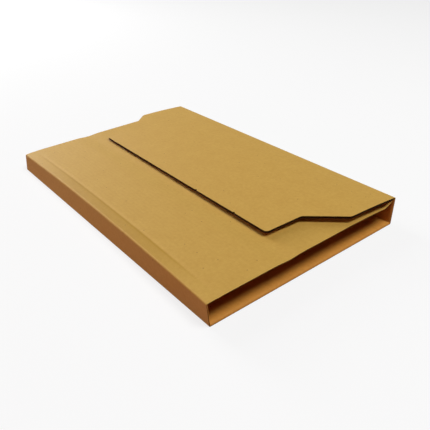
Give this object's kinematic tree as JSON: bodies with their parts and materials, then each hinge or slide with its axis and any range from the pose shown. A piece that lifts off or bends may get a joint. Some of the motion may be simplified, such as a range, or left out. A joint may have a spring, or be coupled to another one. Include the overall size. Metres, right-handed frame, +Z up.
{
  "type": "wrap-around cardboard mailer",
  "caption": "Flat wrap-around book mailer of brown corrugated board, folded closed, with open ends and a hinged closing flap on top.",
  "frame": {"origin": "on the surface that the mailer lies on, under the middle of its bottom panel", "axes": "+Y along the folds, which is the long way of the mailer; +X from the left spine to the right spine that carries the closing flap; +Z up through the top panels"},
  "size_m": [0.1669, 0.251, 0.0226],
  "materials": {
    "kraft_board": "matte"
  },
  "bodies": {
    "wrap": {"wrap_sheet": "kraft_board"},
    "flap": {"closing_flap": "kraft_board"}
  },
  "joints": [
    {"name": "flap_crease", "type": "hinge", "parent": "wrap", "child": "flap", "pos_m": [0.0817, 0, 0.0208], "axis": [0, 1, 0], "range_deg": [0, 180]}
  ]
}
